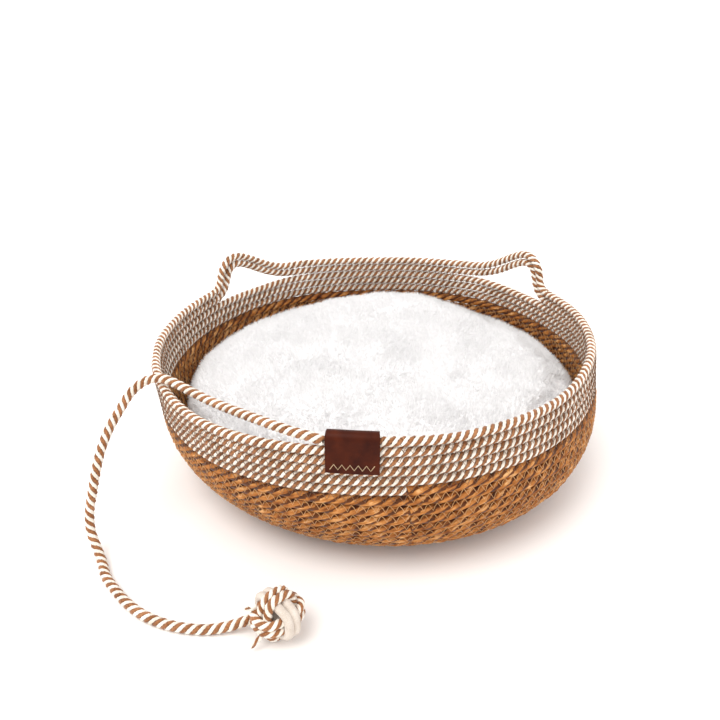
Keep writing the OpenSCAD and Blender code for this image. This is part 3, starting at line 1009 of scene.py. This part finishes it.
top = part_of_cover(cover, "plush_top", True, plush)
under = part_of_cover(cover, "lining_bottom", False, lining)
bpy.data.objects.remove(cover)
print("cover halves:", len(top.data.polygons), len(under.data.polygons))

# %% Pile: tapered tufts scattered over the top
def tufts(name, source, count, length, width, material, seed=4):
    random.seed(seed)
    mesh = source.data
    mesh.calc_loop_triangles()
    corners, normals, areas = [], [], []
    for tri in mesh.loop_triangles:
        n = mesh.polygons[tri.polygon_index].normal
        a, b, c = (mesh.vertices[i].co for i in tri.vertices)
        centre = (a + b + c) / 3
        away = Vector((centre.x - CUSHION_X, centre.y, (centre.z - 0.045) * 1.5))
        if n.dot(away) > 0 and centre.z > SEAM_Z + 0.002:
            corners.append((a, b, c))
            normals.append(n)
            areas.append(tri.area)
    chosen = random.choices(range(len(corners)), weights=areas, k=count)
    shape = bmesh.new()
    for i in chosen:
        a, b, c = corners[i]
        r1, r2 = random.random(), random.random()
        if r1 + r2 > 1:
            r1, r2 = 1 - r1, 1 - r2
        root = a + (b - a) * r1 + (c - a) * r2
        n = normals[i]
        swirl = noise.noise_vector(root * 26)
        stray = Vector([random.uniform(-0.35, 0.35) for _ in range(3)])
        lean = (n + swirl * 0.5 + stray).normalized()
        side = lean.cross(Vector((random.uniform(-1, 1), random.uniform(-1, 1), 0.3)))
        side = side.normalized()
        high = length * random.uniform(0.6, 1.25)
        wide = width * random.uniform(0.7, 1.2)
        other = lean.cross(side)
        base = [shape.verts.new(root - n * 0.0004 + side * wide * math.cos(t)
                                + other * wide * math.sin(t)) for t in (0, 2.1, 4.2)]
        tip = shape.verts.new(root + lean * high + swirl * high * 0.3)
        for j in range(3):
            shape.faces.new((base[j], base[(j + 1) % 3], tip))
    pile = bpy.data.meshes.new(name)
    shape.to_mesh(pile)
    shape.free()
    pile.materials.append(material)
    pile.shade_smooth()
    piece = bpy.data.objects.new(name, pile)
    bpy.context.scene.collection.objects.link(piece)
    return piece


TUFTS = 90000
PILE_LENGTH, PILE_WIDTH = 0.0052, 0.0005
pile = tufts("plush_pile", top, TUFTS, PILE_LENGTH, PILE_WIDTH, plush)
for piece, node, finish in ((top, "cushion_top", "plush"), (pile, "cushion_top", "plush"),
                            (under, "cushion_bottom", "lining")):
    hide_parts(node)
    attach(piece, "cushion")
print("tufts:", len(pile.data.polygons) // 3)

# %% [markdown]
# ## Floor and light
# A pale floor and soft white light from all round, with one soft lamp at the
# left and in front that gives the pale shadow at the right of the basket.

# %% Floor
floor_mesh = bpy.data.meshes.new("floor")
floor_shape = bmesh.new()
bmesh.ops.create_grid(floor_shape, x_segments=1, y_segments=1, size=30)
floor_shape.to_mesh(floor_mesh)
floor_shape.free()
floor = bpy.data.objects.new("floor", floor_mesh)
bpy.context.scene.collection.objects.link(floor)
pale = soft_finish("pale floor", colour(250, 248, 246), colour(252, 250, 249), 3,
                   rough=0.6, sheen=0.0, bump=0.0)
floor_mesh.materials.append(pale)

# %% Lights
world = bpy.data.worlds.new("soft white")
bpy.context.scene.world = world
world.use_nodes = True
world.node_tree.nodes["Background"].inputs["Color"].default_value = (1.0, 0.99, 0.98, 1)
world.node_tree.nodes["Background"].inputs["Strength"].default_value = 1.25
sun_data = bpy.data.lights.new("soft lamp", "SUN")
sun_data.energy = 1.35
sun_data.angle = math.radians(35)
sun_data.color = (1.0, 0.98, 0.95)
sun = bpy.data.objects.new("soft lamp", sun_data)
sun.rotation_euler = Vector((0.35, 0.45, -1.0)).to_track_quat("-Z", "Y").to_euler()
bpy.context.scene.collection.objects.link(sun)
bpy.context.scene.view_settings.view_transform = "Standard"
print("lights on")
